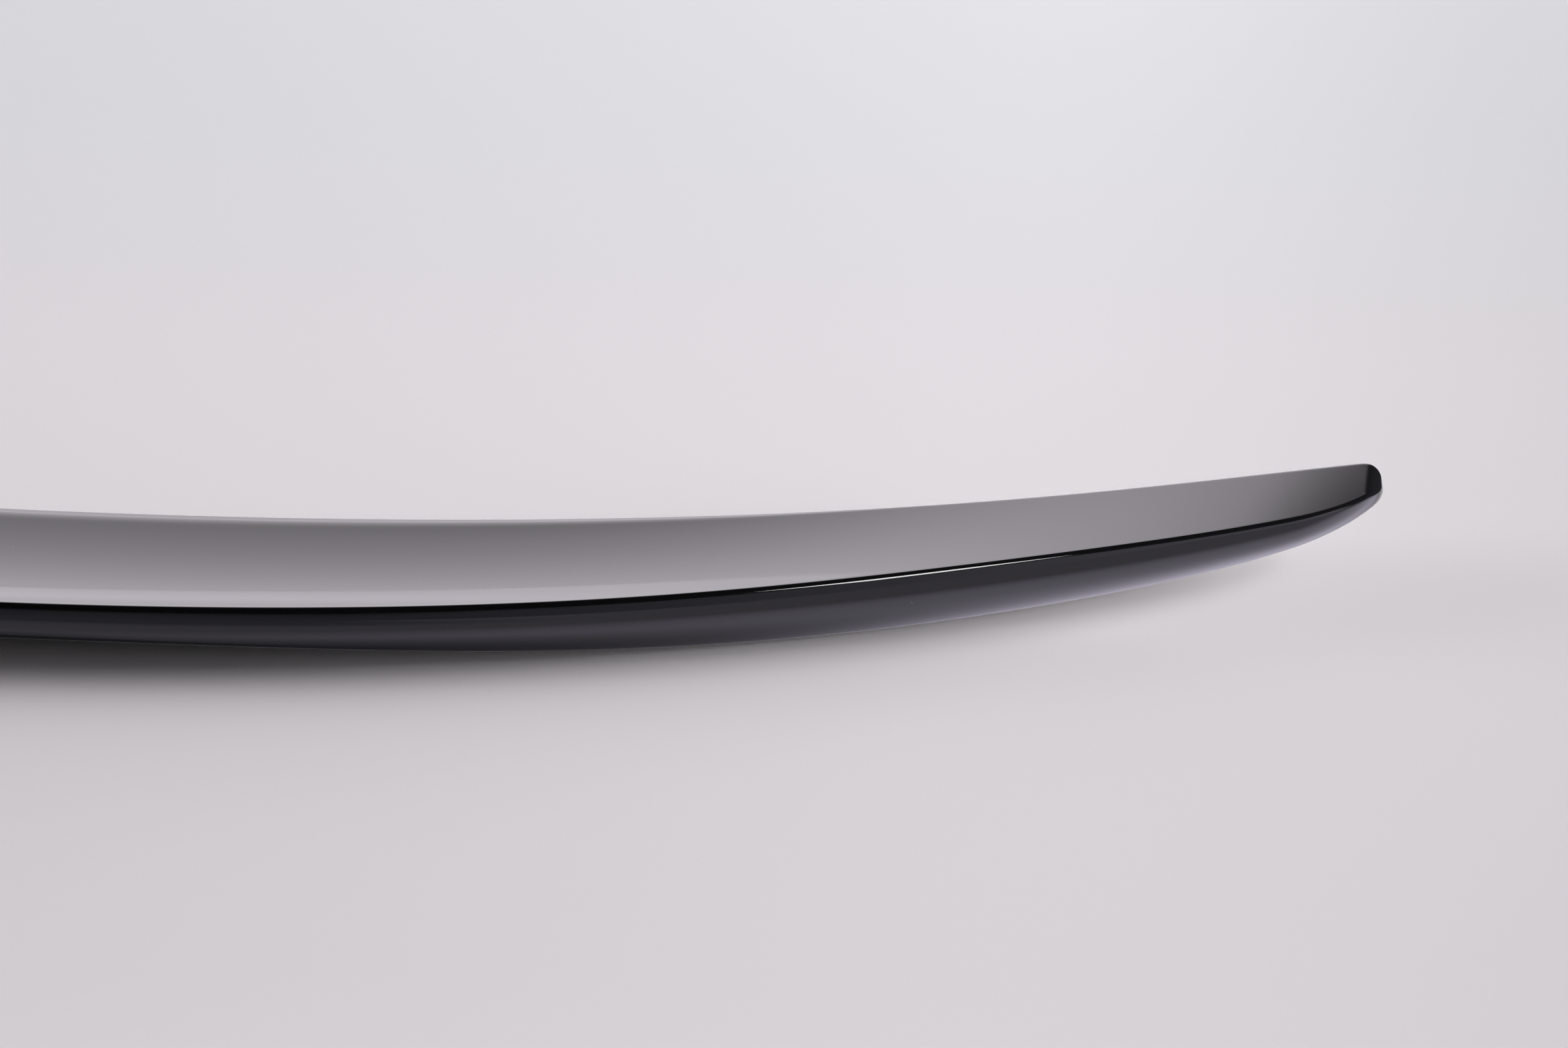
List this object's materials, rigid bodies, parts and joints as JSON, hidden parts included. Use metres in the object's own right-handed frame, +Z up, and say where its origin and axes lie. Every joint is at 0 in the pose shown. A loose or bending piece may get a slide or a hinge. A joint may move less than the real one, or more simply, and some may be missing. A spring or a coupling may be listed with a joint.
{
  "type": "car boot lid lip spoiler",
  "caption": "Gloss black moulded lip spoiler for a car's boot lid, bowed across the car, with a scooped top, a rolled lip and a hollow ribbed underside.",
  "frame": {"origin": "middle of the part's footprint, on the plane of the table that it rests on", "axes": "+X across the car, +Y forwards, away from the lip, +Z up"},
  "size_m": [1.1564, 0.2182, 0.0325],
  "materials": {
    "gloss_black": "gloss black lacquer on moulded plastic"
  },
  "bodies": {
    "root": {"spoiler": "gloss_black"}
  },
  "joints": []
}
